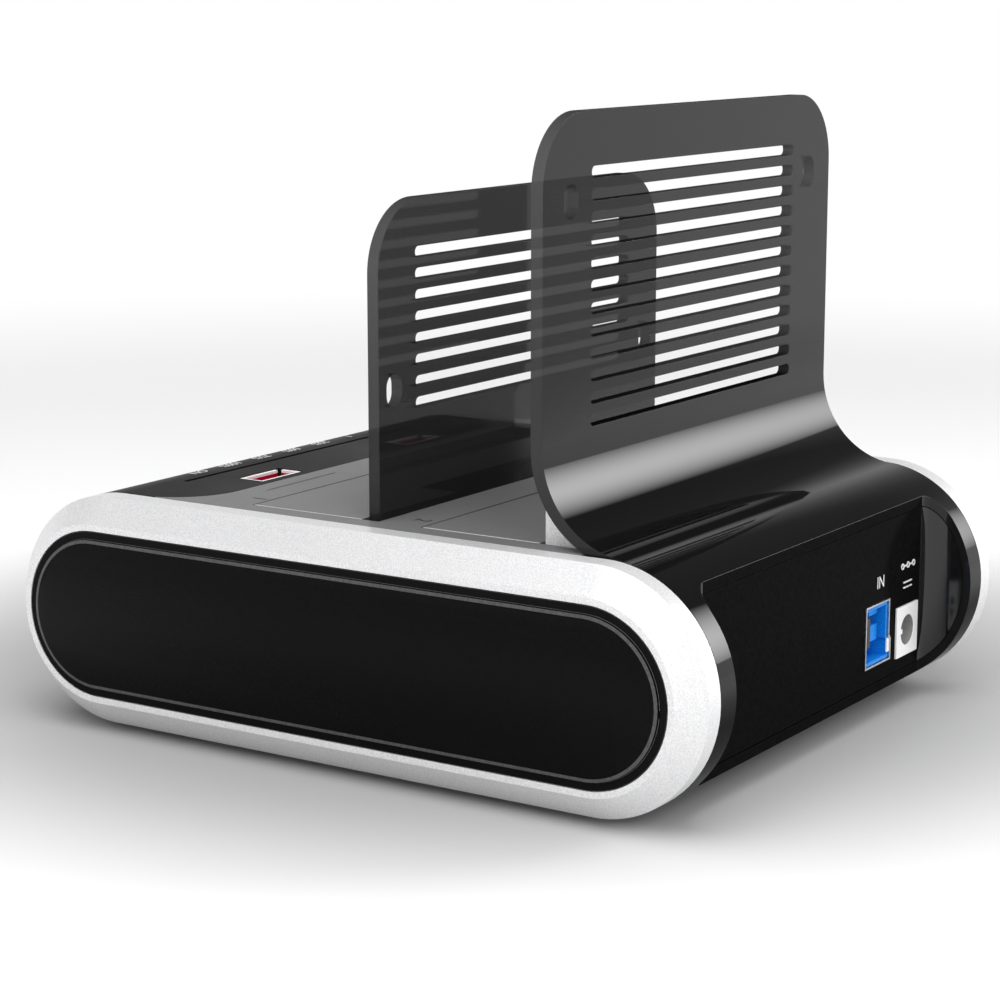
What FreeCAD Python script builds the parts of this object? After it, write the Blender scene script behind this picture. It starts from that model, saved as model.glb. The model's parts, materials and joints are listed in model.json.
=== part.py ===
import FreeCAD, Part
import math
import os
import re
import Sketcher

# Two-bay drive duplicator. +X runs along the width between the silver end frames, +Y from the
# front control side to the rear socket side, +Z up. The origin is on the table under the middle.
os.makedirs("parts", exist_ok=True)
doc = FreeCAD.newDocument("DriveDuplicator")
sheet = doc.addObject("Spreadsheet::Sheet", "Sizes")

# Driving sizes in millimetres and degrees; counts are plain numbers.
sizes = {
    # body outline, summed up along the depth and the width
    "bodyHeight": 46.9, "footLift": 1.5, "bezelReach": 41.15, "frontStrip": 11.5, "rearReach": 39.25,
    "deckRail": 4.6, "fitGap": 0.1, "seamGap": 0.15,
    # silver end frames and the black panels inset in them
    "bevelRun": 4.75, "bevelDrop": 5.1, "rimFlat": 1.3, "frameBand": 4.35, "frameWall": 3.0,
    "faceSpread": 0.8, "frameWeb": 2.5, "panelSeat": 3.4, "panelThickness": 3.3, "panelBorder": 1.6,
    "panelWall": 0.5, "panelStep": 0.65, "panelRun": 0.75,
    # shells and the inner end walls
    "deckThickness": 2.5, "bezelWall": 2.5, "bezelCorner": 14.0, "hornReach": 9.8,
    "bottomThickness": 2.5, "coverWall": 1.7, "innerWall": 2.6, "innerWallMargin": 6.0,
    # tall plate moulded in one with the rear cover, and the loose divider plate
    "plateThickness": 2.5, "plateSetback": 0.7, "plateRise": 78.2, "plateOverhang": 0.9,
    "plateCorner": 14.0, "flareRadius": 18.5, "humpSide": 0.2,
    "dividerThickness": 2.5, "dividerSide": 0.6, "dividerRise": 60.8, "dividerFoot": 14.0,
    "dividerCorner": 14.0,
    # vent slots and hanging holes in both plates
    "slotPitch": 4.165, "slotHeight": 2.2, "slotWidth": 81.2, "slotFirst": 21.2,
    "tallSlots": 12, "shortSlots": 8,
    "hangWidth": 5.0, "hangHeight": 6.5, "hangInset": 9.6, "tallHangRise": 62.1,
    "shortHangRise": 24.5,
    # socket recess at the rear, the tray that closes it and the two sockets
    "recessDepth": 9.65, "cheekWidth": 5.7, "recessCorner": 5.0, "trayWall": 1.8,
    "usbEdge": 25.05, "usbRise": 17.0, "usbWidth": 12.1, "usbHeight": 13.1, "usbLength": 16.0,
    "usbShell": 0.4, "usbStep": 0.8, "usbKnee": 4.6, "usbBorder": 0.8, "usbSink": 0.4,
    "usbCavity": 8.0, "usbLeg": 3.0, "usbLegWidth": 1.0, "tongueShift": -0.9, "tongueWidth": 4.0,
    "tongueSink": 1.4, "upperTongue": 1.6, "upperTongueDrop": 1.3, "lowerTongue": 3.4,
    "lowerTongueDrop": 5.0, "dcEdge": 10.75, "dcRise": 15.0, "dcWidth": 10.4, "dcHeight": 10.8,
    "dcLength": 13.0, "dcBore": 3.2, "dcPin": 1.0, "dcBoreDepth": 9.5, "socketProud": 0.4,
    # drive bays, their guides and sprung flaps
    "bayWidth": 107.0, "bayDepth": 28.0, "bayPitch": 40.2, "guideWall": 1.2, "guideRelief": 0.8,
    "guideSide": 0.4, "ledgeHeight": 3.0, "ledgeReach": 2.2,
    "flapSideGap": 0.3, "flapGap": 0.3, "flapEdgeGap": 1.6, "flapThickness": 1.6,
    "notchDepth": 10.8, "notchReach": 74.0,
    "hingeDrop": 4.2, "hingeSetback": 3.2, "pinRadius": 0.8, "pinPlay": 0.05, "pinProud": 0.3,
    "barrelRadius": 1.4, "armWidth": 6.0, "armInset": 9.5, "armReach": 9.0, "armTaper": 2.5,
    "armSink": 0.4, "earGap": 0.3, "earThickness": 1.4, "earReach": 2.0, "earDrop": 2.2,
    "springWire": 0.4, "springTurns": 8, "springRadius": 1.4, "springPitch": 0.75, "springLeg": 4.0,
    "springMargin": 2.0, "windowDrop": 10.0,
    # main board and what stands on it
    "boardSetback": 1.1, "boardLap": 9.1, "boardGap": 4.6, "boardThickness": 1.6, "boardRise": 7.6,
    "postRadius": 2.6, "postInset": 1.5, "postAhead": 3.4, "postBehind": 6.2,
    "socketLength": 42.0, "socketDepth": 7.0, "socketHeight": 7.0, "socketEdge": 31.5,
    "socketInset": 5.2, "socketBase": 2.0, "cellWall": 1.0, "cellSplit": 17.0, "bladeThickness": 1.3,
    "chipSize": 14.0, "chipHeight": 1.4, "chipPlace": 18.0, "coilRadius": 5.0, "coilHole": 2.0,
    "coilHeight": 5.5, "coilPlace": 36.0, "canRadius": 3.0, "canHeight": 8.0, "canPitch": 8.0,
    "canCount": 3, "canPlace": 4.0, "partsInset": 8.0,
    # scale slit, light bar and the two rocker switches in the front bezel
    "slitLength": 83.0, "slitWidth": 1.1, "slitInset": 15.5, "slitSink": 0.4, "lightBarDepth": 4.5,
    "lightFlange": 1.2, "lightLip": 1.0, "lampCount": 10, "lampPitch": 8.0, "lampLength": 3.2,
    "lampDepth": 1.8, "lampHeight": 1.5, "lightBoardLap": 4.1, "switchLap": 3.3, "bossRadius": 2.4,
    "bossClear": 1.5, "bossMargin": 4.0, "bossInset": 10.7,
    "switchSpread": 52.0, "switchInset": 5.4, "windowLength": 13.6, "windowWidth": 6.4,
    "switchWall": 0.8, "switchSink": 0.1, "switchDepth": 8.0, "switchFloor": 1.0, "switchLip": 1.0,
    "switchNotch": 1.3, "notchSink": 1.6,
    "rockerRise": 2.4, "rockerDepth": 2.5, "rockerDip": 1.0, "rockerSlot": 1.8,
    "rockerSlotDepth": 1.4, "rockerSide": 0.15, "rockerTilt": 8.0,
    "pivotDrop": 3.6, "trunnionRadius": 0.7, "trunnionPlay": 0.05, "trunnionReach": 0.7,
    # feet and screws
    "footRadius": 6.0, "footSink": 1.0, "footInset": 10.0, "footSetback": 1.6,
    "lugWidth": 10.0, "lugHeight": 4.2, "lugReach": 8.0, "lugRoot": 9.0, "lugInset": 7.0,
    "lugScrewInset": 4.0, "screwRadius": 1.25, "screwPlay": 0.15, "threadPlay": 0.02,
    "headRadius": 2.3, "headHeight": 1.6, "headPlay": 0.1, "driveRadius": 1.0, "driveDepth": 0.8,
    "frameScrewInset": 12.6, "frameScrewRise": 6.0, "frameScrewLength": 7.0,
    "bodyScrewLength": 14.0, "lugScrewLength": 4.5, "lightScrewLength": 5.0,
    "dividerScrewInset": 4.0, "dividerScrewDrop": 8.0, "dividerScrewLength": 3.4,
}

# Places worked out from the driving sizes.
places = {
    "baseLevel": "footLift",
    "deckLevel": "footLift + bodyHeight",
    "midLevel": "footLift + bodyHeight / 2",
    "roundRadius": "bodyHeight / 2",
    "roundReach": "bodyDepth / 2 - roundRadius",
    "bodyDepth": "bezelReach + frontStrip + bayPitch + bayDepth + rearReach",
    "bayHalf": "bayWidth / 2",
    "shellHalf": "bayHalf + deckRail",
    "frameInner": "shellHalf + fitGap",
    "bevelStart": "frameInner + frameBand",
    "halfWidth": "bevelStart + bevelRun",
    "faceRadius": "roundRadius - bevelDrop",
    "insetRadius": "faceRadius - rimFlat",
    "panelRadius": "insetRadius - fitGap",
    "seatLevel": "halfWidth - panelSeat",
    "webInner": "seatLevel - frameWeb",
    "frameHollow": "roundRadius - frameWall",
    "frameScrewSeat": "seatLevel - headHeight - headPlay",
    "panelFace": "seatLevel + panelThickness",
    "panelTop": "panelFace + panelStep",
    "raisedRadius": "panelRadius - panelBorder",
    "deckUnder": "deckLevel - deckThickness",
    "bottomTop": "baseLevel + bottomThickness",
    "bezelBack": "bezelReach - bodyDepth / 2",
    "bezelInner": "roundRadius - bezelWall",
    "cornerX": "shellHalf - bezelCorner",
    "hornRadius": "bezelCorner + seamGap",
    "hornY": "bezelBack - hornReach",
    "hornX": "cornerX + sqrt(hornRadius ^ 2 - (bezelCorner - hornReach) ^ 2)",
    "bayFront": "bezelBack + frontStrip",
    "dividerFront": "bayFront + bayDepth",
    "dividerHalf": "bayHalf - dividerSide",
    "dividerBack": "dividerFront + dividerThickness",
    "dividerSeat": "dividerBack + fitGap",
    "dividerTop": "deckLevel + dividerRise",
    "dividerBottom": "deckLevel - dividerFoot",
    "rearBayFront": "bayFront + bayPitch",
    "rearBayBack": "rearBayFront + bayDepth",
    "humpFront": "rearBayBack + fitGap",
    "humpHalf": "bayHalf + humpSide",
    "plateFront": "rearBayBack - plateOverhang",
    "plateBack": "plateFront + plateThickness",
    "plateHalf": "shellHalf - plateSetback",
    "hangX": "plateHalf - hangInset",
    "plateTop": "deckLevel + plateRise",
    "flareY": "plateBack + flareRadius",
    "flareShift": "flareY - roundReach",
    "centreGap": "roundRadius + flareRadius",
    "flareLift": "sqrt(centreGap ^ 2 - flareShift ^ 2)",
    "flareZ": "midLevel + flareLift",
    "meetY": "roundReach + roundRadius * flareShift / centreGap",
    "meetZ": "midLevel + roundRadius * flareLift / centreGap",
    "coverInner": "roundRadius - coverWall",
    "innerMeetY": "roundReach + coverInner * flareShift / centreGap",
    "innerMeetZ": "midLevel + coverInner * flareLift / centreGap",
    "innerRun": "innerMeetY - plateFront",
    "innerDrop": "flareZ - innerMeetZ",
    "underRadius": "(innerRun ^ 2 + innerDrop ^ 2) / (2 * innerRun)",
    "underY": "plateFront + underRadius",
    "humpRadius": "underRadius + seamGap",
    "humpTop": "flareZ - sqrt(humpRadius ^ 2 - (underY - humpFront) ^ 2)",
    "humpBack": "underY - sqrt(humpRadius ^ 2 - (flareZ - deckLevel) ^ 2)",
    "deckBack": "humpBack - seamGap",
    "panelPlane": "bodyDepth / 2 - recessDepth",
    "trayInner": "panelPlane - trayWall",
    "recessHalf": "shellHalf - cheekWidth",
    "trayHalf": "recessHalf + trayWall",
    "trayRadius": "coverInner - seamGap",
    "boardHalf": "guideOuter - boardSetback",
    "boardFront": "bezelBack - boardLap",
    "boardBack": "trayInner - boardGap",
    "partsBack": "boardBack - partsInset",
    "postX": "bayHalf - postInset",
    "postFront": "bezelBack + postAhead",
    "postBack": "rearBayBack + postBehind",
    "boardUnder": "baseLevel + boardRise",
    "boardTop": "boardUnder + boardThickness",
    "guideBase": "boardTop + fitGap",
    "guideTop": "deckUnder - fitGap",
    "guideInner": "bayHalf + guideSide",
    "guideOuter": "guideInner + guideWall",
    "wallBack": "bayFront - guideRelief",
    "wallFront": "wallBack - guideWall",
    "flapHalf": "bayHalf - flapSideGap",
    "flapFront": "bayFront + flapGap",
    "flapBack": "dividerFront - flapEdgeGap",
    "flapUnder": "deckLevel - flapThickness",
    "notchFront": "dividerFront - notchDepth",
    "notchEnd": "notchReach - bayHalf",
    "armX": "bayHalf - armInset",
    "springHalf": "springTurns * springPitch / 2 + springMargin",
    "hingeY": "flapFront - hingeSetback",
    "hingeZ": "deckLevel - hingeDrop",
    "armHalf": "armWidth / 2",
    "earStart": "armHalf + earGap",
    "pinEnd": "armX + earStart + earThickness + pinProud",
    "pinHole": "pinRadius + threadPlay",
    "slitPlace": "bezelBack - slitInset",
    "switchPlace": "bezelBack - switchInset",
    "bossX": "slitHalf + bossClear",
    "bossY": "bezelBack - bossInset",
    "switchTop": "deckLevel - switchSink",
    "switchBottom": "deckLevel - switchDepth",
    "pivotZ": "deckLevel - pivotDrop",
    "linerLong": "windowLength / 2 - fitGap",
    "linerShort": "windowWidth / 2 - fitGap",
    "rockerRadius": "linerLong - switchWall - rockerSide",
    "rockerWing": "sqrt(rockerRadius ^ 2 - rockerRise ^ 2)",
    "rockerHeel": "sqrt(rockerRadius ^ 2 - rockerDepth ^ 2)",
    "rockerHalf": "linerShort - switchWall - rockerSide",
    "lightBoardTop": "switchBottom - fitGap",
    "lightBoardUnder": "lightBoardTop - boardThickness",
    "slitHalf": "slitLength / 2",
    "usbPlace": "usbEdge - recessHalf",
    "dcPlace": "dcEdge - recessHalf",
    "socketPlace": "socketEdge - bayHalf",
    "usbLeft": "usbPlace - usbWidth / 2",
    "usbRight": "usbPlace + usbWidth / 2",
    "usbLow": "footLift + usbRise - usbHeight / 2",
    "usbHigh": "footLift + usbRise + usbHeight / 2",
    "usbFace": "panelPlane + socketProud - usbSink",
    "dcLow": "footLift + dcRise - dcHeight / 2",
    "dcHigh": "footLift + dcRise + dcHeight / 2",
    "headSeat": "baseLevel + headHeight + headPlay",
    "headHole": "headRadius + headPlay",
    "screwHole": "screwRadius + screwPlay",
    "threadHole": "screwRadius + threadPlay",
    "lugHalf": "lugWidth / 2",
    "lugLow": "bottomTop + fitGap",
    "lugInner": "roundReach - lugReach",
    "lugScrewY": "lugInner + lugScrewInset",
    "footX": "postX - footInset",
    "footY": "lugInner - footSetback",
    "lugX": "footX - lugInset",
    "frameScrewY": "roundReach - frameScrewInset",
    "innerWallY": "frameScrewY + innerWallMargin",
    "dividerScrewX": "armX - dividerScrewInset",
}

for row, (alias, number) in enumerate(sizes.items(), start=1):
    sheet.set(f"A{row}", alias)
    sheet.set(f"B{row}", str(number))
    sheet.setAlias(f"B{row}", alias)
doc.recompute()


def written(text):
    """The expression with worked-out places expanded and sheet sizes named in full."""
    def word(match):
        name = match.group(0)
        if name in places:
            return "(" + written(places[name]) + ")"
        return "Sizes." + name if name in sizes else name
    return re.sub(r"[A-Za-z]\w*", word, str(text))


def value(text):
    result = sheet.evalExpression(written(text))
    return float(getattr(result, "Value", result))


def bind(item, target, text):
    item.setExpression(target, written(text))


# Sketches. A plane's sign says whether its sketches face along or against the world axis.
planes = {"XY": ("XY_Plane", 1), "XZ": ("XZ_Plane", -1), "YZ": ("YZ_Plane", 1)}


def originPart(body, role):
    return [feature for feature in body.Origin.OriginFeatures if feature.Role == role][0]


def drawCircle(sketch, x, y, radius):
    centre = FreeCAD.Vector(value(x), value(y), 0)
    circle = Part.Circle(centre, FreeCAD.Vector(0, 0, 1), value(radius))
    index = sketch.addGeometry(circle)
    first = sketch.ConstraintCount
    sketch.addConstraint([
        Sketcher.Constraint("DistanceX", -1, 1, index, 3, centre.x),
        Sketcher.Constraint("DistanceY", -1, 1, index, 3, centre.y),
        Sketcher.Constraint("Radius", index, circle.Radius)])
    for step, text in enumerate((x, y, radius)):
        bind(sketch, f"Constraints[{first + step}]", text)


def arcBetween(start, end, radius, turn):
    """Short arc of the given radius; turn is 1 for counterclockwise, -1 for clockwise."""
    chord = end - start
    half = chord.Length / 2
    side = FreeCAD.Vector(-chord.y, chord.x, 0).normalize() * turn
    centre = (start + end) / 2 + side * math.sqrt(max(radius * radius - half * half, 0))
    low, high = (start, end) if turn > 0 else (end, start)
    angles = [math.atan2(point.y - centre.y, point.x - centre.x) for point in (low, high)]
    circle = Part.Circle(centre, FreeCAD.Vector(0, 0, 1), radius)
    return Part.ArcOfCircle(circle, angles[0], angles[1])


def drawOutline(sketch, points):
    """Closed outline. A point is (x, y), or (x, y, radius, turn) where an arc leaves it."""
    vertices = [FreeCAD.Vector(value(point[0]), value(point[1]), 0) for point in points]
    base = sketch.GeometryCount
    count = len(points)
    shapes = []
    for index, point in enumerate(points):
        start, end = vertices[index], vertices[(index + 1) % count]
        if len(point) == 2:
            shapes.append(Part.LineSegment(start, end))
        else:
            shapes.append(arcBetween(start, end, value(point[2]), point[3]))
    sketch.addGeometry(shapes)
    ends = [(1, 2) if len(point) == 2 or point[3] > 0 else (2, 1) for point in points]
    constraints = []
    texts = []
    for index, point in enumerate(points):
        before = (index - 1) % count
        constraints.append(Sketcher.Constraint("Coincident", base + before, ends[before][1],
                                               base + index, ends[index][0]))
        texts.append(None)
        for kind, text, number in (("DistanceX", point[0], vertices[index].x),
                                   ("DistanceY", point[1], vertices[index].y)):
            constraints.append(Sketcher.Constraint(kind, -1, 1, base + index, ends[index][0], number))
            texts.append(text)
        if len(point) == 4:
            constraints.append(Sketcher.Constraint("Radius", base + index, value(point[2])))
            texts.append(point[2])
    first = sketch.ConstraintCount
    sketch.addConstraint(constraints)
    for step, text in enumerate(texts):
        if text is not None:
            bind(sketch, f"Constraints[{first + step}]", text)


def draw(body, plane, level, loops):
    role, sign = planes[plane]
    sketch = body.newObject("Sketcher::SketchObject", body.Label + "_sketch")
    sketch.AttachmentSupport = [(originPart(body, role), "")]
    sketch.MapMode = "FlatFace"
    bind(sketch, "AttachmentOffset.Base.z", f"{sign} * ({level})")
    for loop in loops:
        if loop[0] == "circle":
            drawCircle(sketch, *loop[1:])
        else:
            drawOutline(sketch, loop)
    return sketch


# Outlines.
def rectangle(left, right, low, high):
    return [(left, low), (right, low), (right, high), (left, high)]


def obround(x, y, length, radius, upright=False):
    """Slot outline about a centre; length is end to end and each end is two quarter arcs."""
    reach = f"(({length}) / 2 - ({radius}))"
    tip = f"({length}) / 2"
    if upright:
        return [
            (f"{x} + {radius}", f"{y} - {reach}"), (f"{x} + {radius}", f"{y} + {reach}", radius, 1),
            (x, f"{y} + {tip}", radius, 1), (f"{x} - {radius}", f"{y} + {reach}"),
            (f"{x} - {radius}", f"{y} - {reach}", radius, 1), (x, f"{y} - {tip}", radius, 1)]
    return [
        (f"{x} - {reach}", f"{y} - {radius}"), (f"{x} + {reach}", f"{y} - {radius}", radius, 1),
        (f"{x} + {tip}", y, radius, 1), (f"{x} + {reach}", f"{y} + {radius}"),
        (f"{x} - {reach}", f"{y} + {radius}", radius, 1), (f"{x} - {tip}", y, radius, 1)]


def stadium(radius, spread="0"):
    """Cross-section of the body in Y and Z, with rounds of the given radius, spread apart."""
    return obround("0", "midLevel", f"2 * (roundReach + {spread} + ({radius}))", f"({radius})")


# Solids.
nodes = {}


def keep(label, item):
    item.Label = label
    nodes[label] = item
    return item


def addPad(body, plane, low, high, loops):
    pad = body.newObject("PartDesign::Pad", body.Label + "_pad")
    pad.Profile = draw(body, plane, low, loops)
    bind(pad, "Length", f"({high}) - ({low})")
    pad.Reversed = planes[plane][1] < 0
    body.Tip = pad
    return pad


def slab(label, plane, low, high, loops):
    """A body whose first feature is a pad between two levels."""
    body = keep(label, doc.addObject("PartDesign::Body", label))
    addPad(body, plane, low, high, loops)
    return body


def cut(body, plane, low, high, loops):
    """Pocket between two levels; the volume has to fall."""
    doc.recompute()
    before = body.Shape.Volume
    pocket = body.newObject("PartDesign::Pocket", body.Label + "_pocket")
    pocket.Profile = draw(body, plane, high if planes[plane][1] > 0 else low, loops)
    bind(pocket, "Length", f"({high}) - ({low})")
    body.Tip = pocket
    doc.recompute()
    if not body.Shape.Volume < before:
        raise RuntimeError(f"a pocket cuts nothing in {body.Label}")
    return pocket


def repeat(body, feature, axis, gap, count):
    """Copies of a feature along one of the body's own axes."""
    pattern = body.newObject("PartDesign::LinearPattern", body.Label + "_pattern")
    pattern.Originals = [feature]
    pattern.Direction = (originPart(body, axis), [""])
    bind(pattern, "Length", f"({gap}) * ({count} - 1)")
    bind(pattern, "Occurrences", count)
    body.Tip = pattern
    doc.recompute()
    return pattern


def loft(body, plane, levels, loops):
    shape = body.newObject("PartDesign::AdditiveLoft", body.Label + "_loft")
    sketches = [draw(body, plane, level, [loop]) for level, loop in zip(levels, loops)]
    shape.Profile = sketches[0]
    shape.Sections = sketches[1:]
    shape.Ruled = True
    body.Tip = shape
    return shape


def soften(body, kind, size, test):
    """Fillet or chamfer on the edges of the body that pass the test."""
    doc.recompute()
    base = body.Tip
    names = [f"Edge{number}" for number, edge in enumerate(base.Shape.Edges, start=1) if test(edge)]
    feature = body.newObject("PartDesign::" + kind, body.Label + "_" + kind.lower())
    feature.Base = (base, names)
    bind(feature, "Radius" if kind == "Fillet" else "Size", size)
    body.Tip = feature
    return feature


def edgeAt(x=None, y=None, z=None):
    """Test for straight edges that stay on the given coordinates; x may be on either side."""
    wanted = [(axis, value(text)) for axis, text in enumerate((x, y, z)) if text is not None]

    def test(edge):
        ends = [vertex.Point for vertex in edge.Vertexes]
        if len(ends) != 2 or ends[0].x * ends[1].x < 0:
            return False
        return all(abs((abs(point[0]) if axis == 0 else point[axis]) - place) < 1e-4
                   for axis, place in wanted for point in ends)
    return test


def box(label, left, right, front, back, low, high, kept=True):
    item = doc.addObject("Part::Box", label)
    bind(item, "Length", f"({right}) - ({left})")
    bind(item, "Width", f"({back}) - ({front})")
    bind(item, "Height", f"({high}) - ({low})")
    for name, text in zip("xyz", (left, front, low)):
        bind(item, "Placement.Base." + name, text)
    return keep(label, item) if kept else item


def turned(item, axis):
    """Stands a cylinder or prism along the given axis."""
    if axis == "X":
        item.Placement.Rotation = FreeCAD.Rotation(FreeCAD.Vector(0, 1, 0), 90)
    if axis == "Y":
        item.Placement.Rotation = FreeCAD.Rotation(FreeCAD.Vector(1, 0, 0), -90)
    return item


def rod(label, axis, x, y, z, radius, length, kept=True):
    """Cylinder from a point along +X, +Y or +Z."""
    item = turned(doc.addObject("Part::Cylinder", label), axis)
    bind(item, "Radius", radius)
    bind(item, "Height", length)
    for name, text in zip("xyz", (x, y, z)):
        bind(item, "Placement.Base." + name, text)
    return keep(label, item) if kept else item


def fuse(label, items, kept=True):
    item = doc.addObject("Part::MultiFuse", label)
    item.Shapes = items
    return keep(label, item) if kept else item


def minus(label, base, tool, kept=True):
    item = doc.addObject("Part::Cut", label)
    item.Base = base
    item.Tool = tool
    return keep(label, item) if kept else item


def together(label, items):
    """Separate solids of one kind, kept as one node."""
    item = doc.addObject("Part::Compound", label)
    item.Links = items
    return keep(label, item)


def screw(label, axis, toward, x, y, z, length):
    """Hex socket screw seated at the point; its shank runs along the axis, toward +1 or -1."""
    def shifted(amount):
        spot = "XYZ".index(axis)
        point = [x, y, z]
        point[spot] = f"({point[spot]}) + ({amount})"
        return point
    headStart = "-headHeight" if toward > 0 else "0"
    shankStart = "0" if toward > 0 else f"-({length})"
    driveStart = "-headHeight" if toward > 0 else "headHeight - driveDepth"
    head = rod(label + "_head", axis, *shifted(headStart), "headRadius", "headHeight", False)
    shank = rod(label + "_shank", axis, *shifted(shankStart), "screwRadius", length, False)
    drive = turned(doc.addObject("Part::Prism", label + "_drive"), axis)
    drive.Polygon = 6
    bind(drive, "Circumradius", "driveRadius")
    bind(drive, "Height", "driveDepth")
    for name, text in zip("xyz", shifted(driveStart)):
        bind(drive, "Placement.Base." + name, text)
    return minus(label, fuse(label + "_blank", [head, shank], False), drive, False)


corners = [(side, ahead) for side in (1, -1) for ahead in (-1, 1)]


# Silver end frames: a short band, a wide bevel and a flat rim round the web that carries the panel.
def span(side, low, high):
    """Two levels along X, given for the +X end and mirrored for the -X end."""
    return (low, high) if side > 0 else (f"-({high})", f"-({low})")


def endFrame(label, side):
    body = slab(label, "YZ", *span(side, "frameInner", "bevelStart"), [stadium("roundRadius")])
    levels = [f"{side} * (bevelStart)", f"{side} * (halfWidth)"]
    loft(body, "YZ", levels, (stadium("roundRadius"), stadium("faceRadius", "faceSpread")))
    cut(body, "YZ", *span(side, "seatLevel", "halfWidth"), [stadium("insetRadius", "faceSpread")])
    cut(body, "YZ", *span(side, "frameInner", "webInner"), [stadium("frameHollow")])
    spots = [(f"{ahead} * frameScrewY", f"midLevel + {above} * frameScrewRise")
             for ahead in (1, -1) for above in (1, -1)]
    cut(body, "YZ", *span(side, "webInner", "seatLevel"),
        [("circle", y, z, "screwHole") for y, z in spots])
    cut(body, "YZ", *span(side, "frameScrewSeat", "seatLevel"),
        [("circle", y, z, "headHole") for y, z in spots])


def endPanel(label, side):
    """Black inset panel: flat border and a raised middle with a chamfered edge."""
    body = slab(label, "YZ", *span(side, "seatLevel", "panelFace"), [
        stadium("panelRadius", "faceSpread")])
    wall = "panelFace + panelWall"
    addPad(body, "YZ", *span(side, "panelFace", wall), [stadium("raisedRadius", "faceSpread")])
    levels = [f"{side} * ({wall})", f"{side} * (panelTop)"]
    loft(body, "YZ", levels, (stadium("raisedRadius", "faceSpread"),
                              stadium("raisedRadius - panelRun", "faceSpread")))


for name, side in (("right", 1), ("left", -1)):
    endFrame("end_frame_" + name, side)
    endPanel("end_panel_" + name, side)


# Top deck: its horns run forward beside the bezel, and its hump rises under the rear flare.
deck = slab("top_deck", "XY", "deckUnder", "deckLevel", [
    [("-(cornerX)", "bezelBack + seamGap"), ("cornerX", "bezelBack + seamGap", "hornRadius", -1),
     ("hornX", "hornY"), ("shellHalf", "hornY"), ("shellHalf", "deckBack"),
     ("-(shellHalf)", "deckBack"), ("-(shellHalf)", "hornY"),
     ("-(hornX)", "hornY", "hornRadius", -1)],
    rectangle("-(bayHalf)", "bayHalf", "bayFront", "dividerSeat"),
    rectangle("-(bayHalf)", "bayHalf", "rearBayFront", "rearBayBack")])
addPad(deck, "YZ", "-(humpHalf)", "humpHalf", [
    [("humpFront", "deckUnder"), ("deckBack", "deckUnder"), ("deckBack", "deckLevel"),
     ("humpBack", "deckLevel", "humpRadius", -1), ("humpFront", "humpTop")]])
addPad(deck, "XY", "boardTop", "deckLevel - deckThickness / 2", [
    ("circle", f"{side} * (postX)", y, "postRadius")
    for side in (1, -1) for y in ("postFront", "postBack")])
cut(deck, "XY", "boardTop", "deckUnder", [
    ("circle", f"{side} * (postX)", y, "threadHole")
    for side in (1, -1) for y in ("postFront", "postBack")])


# Front bezel: wraps the front round; slit for the light bar and windows for the two switches.
def lug(body, turn):
    """Screw lug inside a wrapped shell, above the bottom plate; turn is -1 at the front."""
    for side in (1, -1):
        middle = f"{side} * (lugX)"
        levels = [f"{turn} * (lugInner)", f"{turn} * (roundReach + lugRoot)"]
        front, back = levels if turn > 0 else levels[::-1]
        addPad(body, "XY", "lugLow", "lugLow + lugHeight",
               [rectangle(f"{middle} - lugHalf", f"{middle} + lugHalf", front, back)])
    cut(body, "XY", "lugLow", "lugLow + lugHeight", [
        ("circle", f"{side} * (lugX)", f"{turn} * (lugScrewY)", "threadHole")
        for side in (1, -1)])


bezel = slab("front_bezel", "YZ", "-(shellHalf)", "shellHalf", [
    [("bezelBack", "deckUnder"), ("bezelBack", "deckLevel"), ("-(roundReach)", "deckLevel",
                                                             "roundRadius", 1),
     ("-(roundReach) - roundRadius", "midLevel", "roundRadius", 1),
     ("-(roundReach)", "baseLevel"), ("-(roundReach)", "midLevel - bezelInner", "bezelInner", -1),
     ("-(roundReach) - bezelInner", "midLevel", "bezelInner", -1), ("-(roundReach)", "deckUnder")]])
soften(bezel, "Fillet", "bezelCorner", edgeAt(x="shellHalf", y="bezelBack"))
cut(bezel, "XY", "deckUnder", "deckLevel", [
    rectangle("-(slitHalf)", "slitHalf", "slitPlace - slitWidth / 2", "slitPlace + slitWidth / 2")]
    + [rectangle(f"{side} * switchSpread / 2 - windowLength / 2",
                 f"{side} * switchSpread / 2 + windowLength / 2",
                 "switchPlace - windowWidth / 2", "switchPlace + windowWidth / 2")
       for side in (1, -1)])
addPad(bezel, "XY", "lightBoardTop", "deckLevel - deckThickness / 2", [
    ("circle", f"{side} * (bossX)", "bossY", "bossRadius") for side in (1, -1)])
cut(bezel, "XY", "lightBoardTop", "deckUnder", [
    ("circle", f"{side} * (bossX)", "bossY", "threadHole") for side in (1, -1)])
lug(bezel, -1)


# Rear cover: tall plate, concave flare and the wrap round the back, all one moulding.
def ventSlots(body, front, back, count, hangRise):
    slot = cut(body, "XZ", front, back, [
        obround("0", "deckLevel + slotFirst", "slotWidth", "slotHeight / 2")])
    repeat(body, slot, "Z_Axis", "slotPitch", count)
    cut(body, "XZ", front, back, [
        obround(f"{side} * (hangX)", f"deckLevel + {hangRise}", "hangHeight",
                "hangWidth / 2", True) for side in (1, -1)])


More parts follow.
